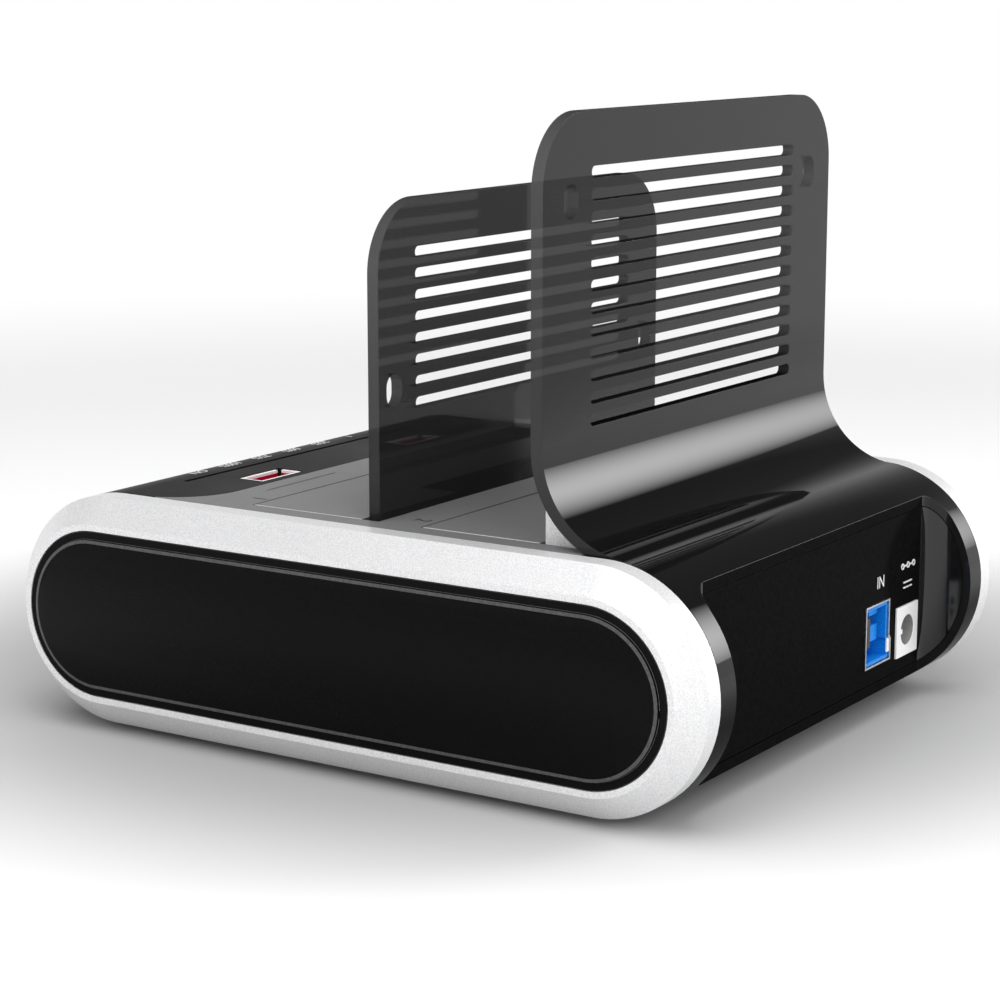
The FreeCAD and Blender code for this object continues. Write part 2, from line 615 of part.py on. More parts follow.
cover = slab("rear_cover", "YZ", "-(plateHalf)", "plateHalf", [
    [("plateFront", "plateTop"), ("plateFront", "flareZ", "underRadius", 1),
     ("innerMeetY", "innerMeetZ"), ("meetY", "meetZ", "flareRadius", -1),
     ("plateBack", "flareZ"), ("plateBack", "plateTop")]])
soften(cover, "Fillet", "plateCorner", edgeAt(x="plateHalf", z="plateTop"))
addPad(cover, "YZ", "-(shellHalf)", "shellHalf", [
    [("innerMeetY", "innerMeetZ", "coverInner", -1), ("roundReach + coverInner", "midLevel",
                                                     "coverInner", -1),
     ("roundReach", "midLevel - coverInner"), ("roundReach", "baseLevel", "roundRadius", 1),
     ("roundReach + roundRadius", "midLevel", "roundRadius", 1), ("meetY", "meetZ")]])
ventSlots(cover, "plateFront", "plateBack", "tallSlots", "tallHangRise")
recess = [
    ("-(recessHalf) + recessCorner", "panelPlane"),
    ("recessHalf - recessCorner", "panelPlane", "recessCorner", 1),
    ("recessHalf", "panelPlane + recessCorner"), ("recessHalf", "bodyDepth / 2 + trayWall"),
    ("-(recessHalf)", "bodyDepth / 2 + trayWall"),
    ("-(recessHalf)", "panelPlane + recessCorner", "recessCorner", 1)]
cut(cover, "XY", "baseLevel", "meetZ", [recess])
lug(cover, 1)

# Tray that closes the recess: flat socket panel with a D-shaped cheek at each end.
tray = slab("io_panel", "XY", "midLevel - trayRadius", "midLevel + trayRadius", [
    [("-(recessHalf) + recessCorner", "trayInner"),
     ("recessHalf - recessCorner", "trayInner", "recessCorner + trayWall", 1),
     ("trayHalf", "panelPlane + recessCorner"), ("trayHalf", "bodyDepth / 2 + trayWall"),
     ("recessHalf", "bodyDepth / 2 + trayWall"),
     ("recessHalf", "panelPlane + recessCorner", "recessCorner", -1),
     ("recessHalf - recessCorner", "panelPlane"),
     ("-(recessHalf) + recessCorner", "panelPlane", "recessCorner", -1),
     ("-(recessHalf)", "panelPlane + recessCorner"), ("-(recessHalf)", "bodyDepth / 2 + trayWall"),
     ("-(trayHalf)", "bodyDepth / 2 + trayWall"),
     ("-(trayHalf)", "panelPlane + recessCorner", "recessCorner + trayWall", 1)]])
cut(tray, "YZ", "-(trayHalf)", "trayHalf", [
    rectangle("-bodyDepth", "bodyDepth", "-bodyHeight", "2 * bodyHeight"), stadium("trayRadius")])


def usbLoop(inset):
    """The port's stepped outline, moved inwards by the given amount."""
    left, right = f"usbLeft + ({inset})", f"usbRight - ({inset})"
    low, high = f"usbLow + ({inset})", f"usbHigh - ({inset})"
    knee = f"usbLow + usbKnee - ({inset}) * (sqrt(2) - 1)"
    return [(left, low), (right, low), (right, high), (f"{left} + usbStep", high),
            (f"{left} + usbStep", f"{knee} + usbStep"), (left, knee)]


cut(tray, "XZ", "trayInner", "panelPlane", [
    usbLoop("-fitGap"),
    rectangle("dcPlace - dcWidth / 2 - fitGap", "dcPlace + dcWidth / 2 + fitGap",
              "dcLow - fitGap", "dcHigh + fitGap")])

# Sockets behind the tray, standing on the main board.
usbShell = slab("usb_socket_shell", "XZ", "panelPlane + socketProud - usbLength",
                "panelPlane + socketProud", [usbLoop("0"), usbLoop("usbShell")])
addPad(usbShell, "XY", "boardTop", "usbLow + usbShell / 2", [
    rectangle(left, f"{left} + usbLegWidth", "boardBack - 2 * usbLeg", "boardBack - usbLeg")
    for left in ("usbLeft + usbLeg", "usbRight - usbLeg")])
usbInsert = slab("usb_socket_insert", "XZ", "panelPlane + socketProud - usbLength", "usbFace",
                 [usbLoop("usbShell + fitGap")])
cut(usbInsert, "XZ", "usbFace - usbCavity", "usbFace", [usbLoop("usbShell + usbBorder")])
for size, drop in (("upperTongue", "upperTongueDrop"), ("lowerTongue", "lowerTongueDrop")):
    addPad(usbInsert, "XZ", "usbFace - usbCavity", "usbFace - tongueSink", [
        rectangle("usbPlace + tongueShift - tongueWidth / 2", "usbPlace + tongueShift + tongueWidth / 2",
                  f"usbHigh - {drop} - {size}", f"usbHigh - {drop}")])
dcHousing = slab("dc_jack_housing", "XZ", "panelPlane + socketProud - dcLength",
                 "panelPlane + socketProud", [
    rectangle("dcPlace - dcWidth / 2", "dcPlace + dcWidth / 2", "dcLow", "dcHigh")])
cut(dcHousing, "XZ", "panelPlane + socketProud - dcBoreDepth", "panelPlane + socketProud", [
    ("circle", "dcPlace", "footLift + dcRise", "dcBore")])
rod("dc_jack_pin", "Y", "dcPlace", "panelPlane + socketProud - dcBoreDepth", "footLift + dcRise",
    "dcPin", "dcBoreDepth - trayWall")


# Bottom shell: flat plate between the wraps with the board's posts.
bottom = slab("bottom_shell", "XY", "baseLevel", "bottomTop", [
    rectangle("-(shellHalf)", "shellHalf", "-(roundReach) + seamGap", "roundReach - seamGap")])
posts = [(f"{side} * (postX)", y) for side in (1, -1) for y in ("postFront", "postBack")]
addPad(bottom, "XY", "baseLevel + bottomThickness / 2", "boardUnder",
       [("circle", x, y, "postRadius") for x, y in posts])
feet = [(f"{side} * (footX)", f"{ahead} * (footY)") for side, ahead in corners]
lugScrews = [(f"{side} * (lugX)", f"{ahead} * (lugScrewY)") for side, ahead in corners]
cut(bottom, "XY", "baseLevel", "baseLevel + footSink",
    [("circle", x, y, "footRadius + fitGap") for x, y in feet])
cut(bottom, "XY", "baseLevel", "headSeat", [("circle", x, y, "headHole") for x, y in posts + lugScrews])
cut(bottom, "XY", "headSeat", "boardUnder", [("circle", x, y, "screwHole") for x, y in posts])
cut(bottom, "XY", "headSeat", "bottomTop", [("circle", x, y, "screwHole") for x, y in lugScrews])

for (side, ahead), (x, y) in zip(corners, feet):
    place = ("front" if ahead < 0 else "rear") + ("_right" if side > 0 else "_left")
    foot = slab("foot_" + place, "XY", "0", "baseLevel + footSink", [("circle", x, y, "footRadius")])
    soften(foot, "Chamfer", "footSink / 2", lambda edge: edge.BoundBox.ZMax < 1e-6)


def innerWall(label, side):
    """Upright wall inside a frame, with bosses that meet the frame's web."""
    spots = [(f"{ahead} * (frameScrewY)", f"midLevel + {above} * frameScrewRise")
             for ahead in (1, -1) for above in (1, -1)]
    body = slab(label, "YZ", *span(side, "shellHalf - innerWall", "shellHalf"), [
        rectangle("-(innerWallY)", "innerWallY", "lugLow", "guideTop")])
    addPad(body, "YZ", *span(side, "shellHalf - innerWall / 2", "webInner - fitGap"),
           [("circle", y, z, "postRadius") for y, z in spots])
    cut(body, "YZ", *span(side, "shellHalf - innerWall", "webInner - fitGap"),
        [("circle", y, z, "threadHole") for y, z in spots])


for name, side in (("right", 1), ("left", -1)):
    innerWall("inner_wall_" + name, side)


# Divider plate between the bays.
divider = slab("divider_plate", "XZ", "dividerFront", "dividerBack", [
    rectangle("-(dividerHalf)", "dividerHalf", "dividerBottom", "dividerTop")])
soften(divider, "Fillet", "dividerCorner", edgeAt(x="dividerHalf", z="dividerTop"))
ventSlots(divider, "dividerFront", "dividerBack", "shortSlots", "shortHangRise")
dividerScrews = [f"{side} * (dividerScrewX)" for side in (1, -1)]
cut(divider, "XZ", "dividerFront", "dividerBack", [
    ("circle", x, "deckLevel - dividerScrewDrop", "threadHole") for x in dividerScrews])


# Drive bays: an open sleeve, a sprung flap on a pin and the spring, for the front and rear bay.
def moved(text, shift):
    return f"({text}) + {shift}"


armSides = (1, -1)


def bayGuide(label, shift, isFront):
    back = "dividerSeat" if isFront else moved("dividerFront", shift)
    body = slab(label, "XY", "guideBase", "guideTop", [
        rectangle("-(guideOuter)", "guideOuter", moved("wallFront", shift), f"{back} + guideWall"),
        rectangle("-(guideInner)", "guideInner", moved("wallBack", shift), back)])
    cut(body, "XZ", moved("wallFront", shift), moved("wallBack", shift), [
        rectangle(f"{side} * (armX) - (earStart)", f"{side} * (armX) + earStart",
                  "hingeZ - windowDrop", "guideTop + fitGap") for side in armSides]
        + [rectangle("-(springHalf)", "springHalf", "hingeZ - earDrop",
                     "guideTop + fitGap")])
    for side in armSides:
        for start in (f"{side} * (armX) + earStart",
                      f"{side} * (armX) - (earStart) - earThickness"):
            addPad(body, "YZ", start, f"{start} + earThickness", [
                rectangle(moved("hingeY - earReach", shift), moved("wallBack", shift),
                          "hingeZ - earDrop", "guideTop")])
    cut(body, "YZ", "-(pinEnd)", "pinEnd", [("circle", moved("hingeY", shift), "hingeZ", "pinHole")])
    if isFront:
        addPad(body, "XZ", "dividerSeat - ledgeReach", "dividerSeat + guideWall / 2", [
            rectangle("-(guideInner) - guideWall / 2", "guideInner + guideWall / 2",
                      "dividerBottom - fitGap - ledgeHeight", "dividerBottom - fitGap")])
        cut(body, "XZ", "dividerSeat", "dividerSeat + guideWall", [
            ("circle", x, "deckLevel - dividerScrewDrop", "screwHole") for x in dividerScrews])


def bayFlap(label, shift):
    front, back, notch = (moved(text, shift) for text in ("flapFront", "flapBack", "notchFront"))
    body = slab(label, "XY", "flapUnder", "deckLevel", [
        [("-(flapHalf)", front), ("flapHalf", front), ("flapHalf", back), ("notchEnd", back),
         ("notchEnd", notch), ("-(flapHalf)", notch)]])
    axis = moved("hingeY", shift)
    for side in armSides:
        middle = f"{side} * (armX)"
        addPad(body, "YZ", f"{middle} - armHalf", f"{middle} + armHalf", [
            [(axis, "hingeZ - barrelRadius"), (f"{axis} + armReach - armTaper", "hingeZ - barrelRadius"),
             (f"{axis} + armReach", "flapUnder"), (f"{axis} + armReach", "flapUnder + armSink"),
             (f"{front} + flapGap", "flapUnder + armSink"),
             (f"{front} + flapGap", "hingeZ + barrelRadius"),
             (axis, "hingeZ + barrelRadius", "barrelRadius", 1),
             (f"{axis} - barrelRadius", "hingeZ", "barrelRadius", 1)]])
    cut(body, "YZ", "-(pinEnd)", "pinEnd", [("circle", axis, "hingeZ", "pinRadius + pinPlay")])


def flapSpring(label, shift):
    """Coil round the hinge pin with one straight leg under the deck."""
    radius, wire = value("springRadius"), value("springWire")
    turns, pitch = value("springTurns"), value("springPitch")
    start = FreeCAD.Vector(radius, 0, 0)
    leg = Part.makeLine(start - FreeCAD.Vector(0, value("springLeg"), 0), start)
    coil = Part.makeHelix(pitch, turns * pitch, radius)
    path = Part.Wire([leg] + coil.Edges)
    section = Part.Wire([Part.makeCircle(wire / 2, leg.Vertexes[0].Point, FreeCAD.Vector(0, 1, 0))])
    item = doc.addObject("Part::Feature", label)
    item.Shape = path.makePipeShell([section], True, True)
    place = FreeCAD.Vector(-turns * pitch / 2, value(moved("hingeY", shift)), value("hingeZ"))
    item.Placement = FreeCAD.Placement(place, FreeCAD.Rotation(FreeCAD.Vector(0, 1, 0), 90))
    keep(label, item)


for name, shift in (("front", "0"), ("rear", "bayPitch")):
    bayGuide("bay_guide_" + name, shift, name == "front")
    bayFlap("bay_flap_" + name, shift)
    rod("flap_pin_" + name, "X", "-(pinEnd)", moved("hingeY", shift), "hingeZ", "pinRadius",
        "2 * (pinEnd)")
    flapSpring("flap_spring_" + name, shift)

# Main board with the drive sockets, the controller and the power parts.
board = slab("main_board", "XY", "boardUnder", "boardTop", [
    rectangle("-(boardHalf)", "boardHalf", "boardFront", "boardBack")]
    + [("circle", x, y, "screwHole") for x, y in posts])


def driveSocket(label, shift):
    """Block with a short and a long cell, each with a contact blade."""
    left, right = "socketPlace - socketLength / 2", "socketPlace + socketLength / 2"
    middle = moved("dividerFront - socketInset", shift)
    front, back = f"{middle} - socketDepth / 2", f"{middle} + socketDepth / 2"
    body = slab(label, "XY", "boardTop", "boardTop + socketHeight", [
        rectangle(left, right, front, back)])
    cells = [(f"{left} + cellWall", f"{right} - cellSplit"),
             (f"{right} - cellSplit + cellWall", f"{right} - cellWall")]
    cut(body, "XY", "boardTop + socketBase", "boardTop + socketHeight", [
        rectangle(*cell, f"{front} + cellWall", f"{back} - cellWall") for cell in cells])
    addPad(body, "XY", "boardTop + socketBase / 2", "boardTop + socketHeight - cellWall", [
        rectangle(f"{low} + cellWall", f"{high} - cellWall", f"{middle} - bladeThickness / 2",
                  f"{middle} + bladeThickness / 2") for low, high in cells])


driveSocket("drive_socket_front", "0")
driveSocket("drive_socket_rear", "bayPitch")
chip = box("controller_chip", "chipPlace - chipSize / 2", "chipPlace + chipSize / 2",
           "partsBack - chipSize / 2", "partsBack + chipSize / 2", "boardTop",
           "boardTop + chipHeight")
coilPlace = ("coilPlace", "partsBack", "boardTop")
minus("power_coil", rod("coil_body", "Z", *coilPlace, "coilRadius", "coilHeight", False),
      rod("coil_hole", "Z", *coilPlace, "coilHole", "coilHeight", False))
together("capacitors", [
    rod(f"capacitor_{index}", "Z", f"canPlace - {index} * canPitch", "partsBack", "boardTop",
        "canRadius", "canHeight", False) for index in range(int(value("canCount")))])

# Light bar under the scale slit, its board and lamps.
lightBar = slab("light_bar", "XY", "deckLevel - slitSink - lightBarDepth", "deckLevel - slitSink", [
    rectangle("-(slitHalf) + fitGap", "slitHalf - fitGap", "slitPlace - slitWidth / 2 + fitGap",
              "slitPlace + slitWidth / 2 - fitGap")])
addPad(lightBar, "XY", "deckUnder - fitGap - lightFlange", "deckUnder - fitGap", [
    rectangle("-(slitHalf) - lightLip", "slitHalf + lightLip",
              "slitPlace - slitWidth / 2 - lightLip", "slitPlace + slitWidth / 2 + lightLip")])
slab("light_board", "XY", "lightBoardUnder", "lightBoardTop", [
    rectangle("-(bossX) - bossMargin", "bossX + bossMargin", "slitPlace - lightBoardLap",
              "switchPlace + switchLap")]
    + [("circle", f"{side} * (bossX)", "bossY", "screwHole") for side in (1, -1)])
together("status_lamps", [
    box(f"lamp_{index}", f"{middle} - lampLength / 2", f"{middle} + lampLength / 2",
        "slitPlace - lampDepth / 2", "slitPlace + lampDepth / 2", "lightBoardTop",
        "lightBoardTop + lampHeight", False)
    for index in range(int(value("lampCount")))
    for middle in [f"({index} - (lampCount - 1) / 2) * lampPitch"]])


# Switches: a white liner in the bezel window and a tilting red rocker on trunnions.
def switchLiner(label, middle):
    long, short = "linerLong", "linerShort"
    left, right = f"{middle} - {long}", f"{middle} + {long}"
    front, back = f"switchPlace - {short}", f"switchPlace + {short}"
    body = slab(label, "XY", "switchBottom", "switchTop", [rectangle(left, right, front, back)])
    addPad(body, "XY", "deckUnder - fitGap - switchLip", "deckUnder - fitGap", [
        rectangle(f"{left} - switchLip", f"{right} + switchLip", f"{front} - switchLip",
                  f"{back} + switchLip")])
    cut(body, "XY", "switchBottom + switchFloor", "switchTop", [
        rectangle(f"{left} + switchWall", f"{right} - switchWall", f"{front} + switchWall",
                  f"{back} - switchWall")])
    cut(body, "XY", "switchTop - notchSink", "switchTop", [
        rectangle(left, f"{left} + switchNotch", front, f"{front} + switchNotch")])
    cut(body, "XZ", front, back, [("circle", middle, "pivotZ", "trunnionRadius + trunnionPlay")])


def rocker(label, middle):
    """Two-lobed rocker drawn about its own pivot and set at its resting tilt."""
    body = slab(label, "XZ", "-(rockerHalf)", "rockerHalf", [
        [("-(rockerWing)", "rockerRise", "rockerRadius", 1), ("-(rockerHeel)", "-rockerDepth"),
         ("rockerHeel", "-rockerDepth", "rockerRadius", 1), ("rockerWing", "rockerRise"),
         ("rockerSlot / 2", "rockerRise - rockerDip"),
         ("rockerSlot / 2", "rockerRise - rockerDip - rockerSlotDepth"),
         ("-rockerSlot / 2", "rockerRise - rockerDip - rockerSlotDepth"),
         ("-rockerSlot / 2", "rockerRise - rockerDip")]])
    addPad(body, "XZ", "-(rockerHalf) - trunnionReach", "rockerHalf + trunnionReach", [
        ("circle", "0", "0", "trunnionRadius")])
    body.Placement = FreeCAD.Placement(FreeCAD.Vector(), FreeCAD.Rotation(FreeCAD.Vector(0, 1, 0), 1))
    bind(body, "Placement.Rotation.Angle", "-rockerTilt")
    for name, text in zip("xyz", (middle, "switchPlace", "pivotZ")):
        bind(body, "Placement.Base." + name, text)


for name, middle in (("right", "switchSpread / 2"), ("left", "-switchSpread / 2")):
    switchLiner("switch_liner_" + name, middle)
    rocker("switch_rocker_" + name, middle)

# Screws.
together("frame_screws", [
    screw(f"frame_screw_{number}", "X", -side, f"{side} * (frameScrewSeat)",
          f"{ahead} * frameScrewY", f"midLevel + {above} * frameScrewRise", "frameScrewLength")
    for number, (side, ahead, above) in enumerate(
        [(side, ahead, above) for side, ahead in corners for above in (1, -1)])])
together("body_screws", [
    screw(f"body_screw_{number}", "Z", 1, x, y, "headSeat", "bodyScrewLength")
    for number, (x, y) in enumerate(posts)])
together("lug_screws", [
    screw(f"lug_screw_{number}", "Z", 1, x, y, "headSeat", "lugScrewLength")
    for number, (x, y) in enumerate(lugScrews)])
together("light_board_screws", [
    screw(f"light_screw_{number}", "Z", 1, f"{side} * (bossX)", "bossY",
          "lightBoardUnder", "lightScrewLength") for number, side in enumerate((1, -1))])
together("divider_screws", [
    screw(f"divider_screw_{number}", "Y", -1, x, "dividerSeat + guideWall",
          "deckLevel - dividerScrewDrop", "dividerScrewLength")
    for number, x in enumerate(dividerScrews)])

doc.recompute()
failed = [item.Label for item in doc.Objects if "Invalid" in item.State or "Error" in item.State]
failed += [label for label, item in nodes.items() if item.Shape.isNull() or not item.Shape.isValid()]
failed += [label for label, item in nodes.items()
           if item.TypeId == "PartDesign::Body" and len(item.Shape.Solids) != 1]
if failed:
    raise RuntimeError("failed objects: " + ", ".join(failed))
for label, item in nodes.items():
    item.Shape.exportStep(f"parts/{label}.step")
print(f"{len(nodes)} nodes written")
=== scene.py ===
import json
import math

import bpy
from mathutils import Matrix, Vector


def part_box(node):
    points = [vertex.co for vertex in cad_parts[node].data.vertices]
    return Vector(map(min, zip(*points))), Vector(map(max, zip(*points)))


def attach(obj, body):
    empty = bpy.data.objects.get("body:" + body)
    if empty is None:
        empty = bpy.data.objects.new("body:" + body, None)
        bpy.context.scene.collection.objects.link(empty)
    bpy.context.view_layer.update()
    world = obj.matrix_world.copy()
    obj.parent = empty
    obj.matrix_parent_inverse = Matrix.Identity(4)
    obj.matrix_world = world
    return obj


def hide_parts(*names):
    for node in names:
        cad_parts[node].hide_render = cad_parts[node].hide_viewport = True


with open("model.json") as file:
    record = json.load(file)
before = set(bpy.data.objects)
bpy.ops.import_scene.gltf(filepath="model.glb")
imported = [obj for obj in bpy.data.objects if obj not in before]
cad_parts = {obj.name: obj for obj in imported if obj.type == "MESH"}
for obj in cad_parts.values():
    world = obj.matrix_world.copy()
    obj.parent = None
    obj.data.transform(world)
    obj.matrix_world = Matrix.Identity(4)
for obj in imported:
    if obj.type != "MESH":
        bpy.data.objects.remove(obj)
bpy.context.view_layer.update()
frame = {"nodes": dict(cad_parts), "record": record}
nodes = frame["nodes"]
bodies = frame["record"]["behaviour"]["bodies"]
bodyOf = {name: body for body, names in bodies.items() for name in names}
slotOf = {entry["node"]: entry["material_slot"] for entry in frame["record"]["subparts"]}
mm = 0.001
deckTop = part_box("bay_flap_front")[1][2]
print("frame loaded:", len(nodes), "nodes")


def clearSelection():
    if bpy.context.object and bpy.context.object.mode != "OBJECT":
        bpy.ops.object.mode_set(mode="OBJECT")
    bpy.ops.object.select_all(action="DESELECT")


def pickOnly(piece):
    clearSelection()
    piece.select_set(True)
    bpy.context.view_layer.objects.active = piece


def settle(piece, body, slotName, *finish):
    # place into the mesh, then body and finish
    pickOnly(piece)
    bpy.ops.object.transform_apply(location=True, rotation=True, scale=True)
    piece.data.materials.clear()
    for material in finish:
        piece.data.materials.append(material)
    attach(piece, body)
    return piece


def join(pieces, name):
    clearSelection()
    for piece in pieces:
        piece.select_set(True)
    bpy.context.view_layer.objects.active = pieces[0]
    bpy.ops.object.join()
    pieces[0].name = name
    return pieces[0]


def newMaterial(name):
    material = bpy.data.materials.new(name)
    material.use_nodes = True
    tree = material.node_tree
    return material, tree, tree.nodes["Principled BSDF"]


def feed(tree, socket, value):
    # an output is linked, anything else is set on the socket
    if isinstance(value, bpy.types.NodeSocket):
        tree.links.new(value, socket)
    else:
        socket.default_value = value


def fill(tree, node, values):
    for label, value in values.items():
        feed(tree, node.inputs[label], value)
    return node


def addNode(tree, kind, **settings):
    node = tree.nodes.new(kind)
    for key, value in settings.items():
        if key in node.inputs.keys():
            feed(tree, node.inputs[key], value)
        else:
            setattr(node, key, value)
    return node


def mathNode(tree, operation, first, second=None):
    node = addNode(tree, "ShaderNodeMath", operation=operation)
    feed(tree, node.inputs[0], first)
    if second is not None:
        feed(tree, node.inputs[1], second)
    return node.outputs[0]


def rampNode(tree, factor, stops):
    node = addNode(tree, "ShaderNodeValToRGB", Fac=factor)
    for element, (place, value) in zip(node.color_ramp.elements, stops):
        element.position = place
        element.color = (value, value, value, 1)
    return node.outputs["Color"]


def mapRange(tree, value, start, stop, low=0.0, high=1.0, smooth=False):
    node = addNode(tree, "ShaderNodeMapRange", interpolation_type="SMOOTHSTEP" if smooth else "LINEAR")
    fill(tree, node, {"Value": value, "From Min": start, "From Max": stop, "To Min": low, "To Max": high})
    return node.outputs["Result"]


def splitAxes(tree, vector):
    return addNode(tree, "ShaderNodeSeparateXYZ", Vector=vector).outputs


def objectPlace(tree):
    return addNode(tree, "ShaderNodeTexCoord").outputs["Object"]


def tintBetween(tree, factor, dark, light):
    mix = addNode(tree, "ShaderNodeMix", data_type="RGBA")
    tree.links.new(factor, mix.inputs[0])
    for socket, tint in ((mix.inputs[6], dark), (mix.inputs[7], light)):
        feed(tree, socket, (*tint, 1) if isinstance(tint, tuple) else tint)
    return mix.outputs[2]


def bumpFrom(tree, height, strength, distance):
    bump = addNode(tree, "ShaderNodeBump", Strength=strength, Distance=distance, Height=height)
    return bump.outputs["Normal"]


def newGroup(name, inputs, outputs):
    group = bpy.data.node_groups.new(name, "ShaderNodeTree")
    for label, value in inputs.items():
        socket = group.interface.new_socket(name=label, in_out="INPUT", socket_type="NodeSocketFloat")
        socket.default_value = value
    for label in outputs:
        group.interface.new_socket(name=label, in_out="OUTPUT", socket_type="NodeSocketFloat")
    return group, group.nodes.new("NodeGroupInput"), group.nodes.new("NodeGroupOutput")


def placeGroup(tree, group, **values):
    node = tree.nodes.new("ShaderNodeGroup")
    node.node_tree = group
    return fill(tree, node, values)


grainLook = {"detail": 3.0, "speckleFrom": 0.38, "speckleTo": 0.62}


def makeGrainGroup():
    # fine moulded or blasted grain: a height for Bump and a speckle mask
    group, start, end = newGroup("fineGrain", {"Size": 1000.0, "Softness": 0.5}, ["Height", "Speckle"])
    place, size = objectPlace(group), start.outputs["Size"]
    noise = addNode(group, "ShaderNodeTexNoise", Detail=grainLook["detail"], Vector=place, Scale=size,
                    Roughness=start.outputs["Softness"])
    cells = addNode(group, "ShaderNodeTexVoronoi", Vector=place, Scale=size)
    height = mathNode(group, "ADD", noise.outputs["Fac"], cells.outputs["Distance"])
    stops = [(grainLook["speckleFrom"], 0.0), (grainLook["speckleTo"], 1.0)]
    fill(group, end, {"Height": height, "Speckle": rampNode(group, noise.outputs["Fac"], stops)})
    return group


smudgeLook = {"detail": 4.0, "softness": 0.6, "from": 0.3, "to": 0.7}


def makeSmudgeGroup():
    # slow patches left by handling and moulding, as a value between Low and High
    group, start, end = newGroup("smudges", {"Size": 20.0, "Low": 0.2, "High": 0.3}, ["Value"])
    noise = addNode(group, "ShaderNodeTexNoise", Detail=smudgeLook["detail"], Vector=objectPlace(group),
                    Scale=start.outputs["Size"], Roughness=smudgeLook["softness"])
    patches = mapRange(group, noise.outputs["Fac"], smudgeLook["from"], smudgeLook["to"],
                       start.outputs["Low"], start.outputs["High"])
    fill(group, end, {"Value": patches})
    return group


grainGroup = makeGrainGroup()
smudgeGroup = makeSmudgeGroup()


def addSmudge(tree, shader, look):
    smudge = placeGroup(tree, smudgeGroup, Size=look.get("patch", 25.0), Low=look["gloss"][0],
                        High=look["gloss"][1])
    fill(tree, shader, {"Roughness": smudge.outputs["Value"]})


def addGrain(tree, shader, look):
    grain = placeGroup(tree, grainGroup, Size=look["grainSize"], Softness=look.get("softness", 0.5))
    fill(tree, shader, {"Normal": bumpFrom(tree, grain.outputs["Height"], look["bump"], look["depth"])})
    return grain


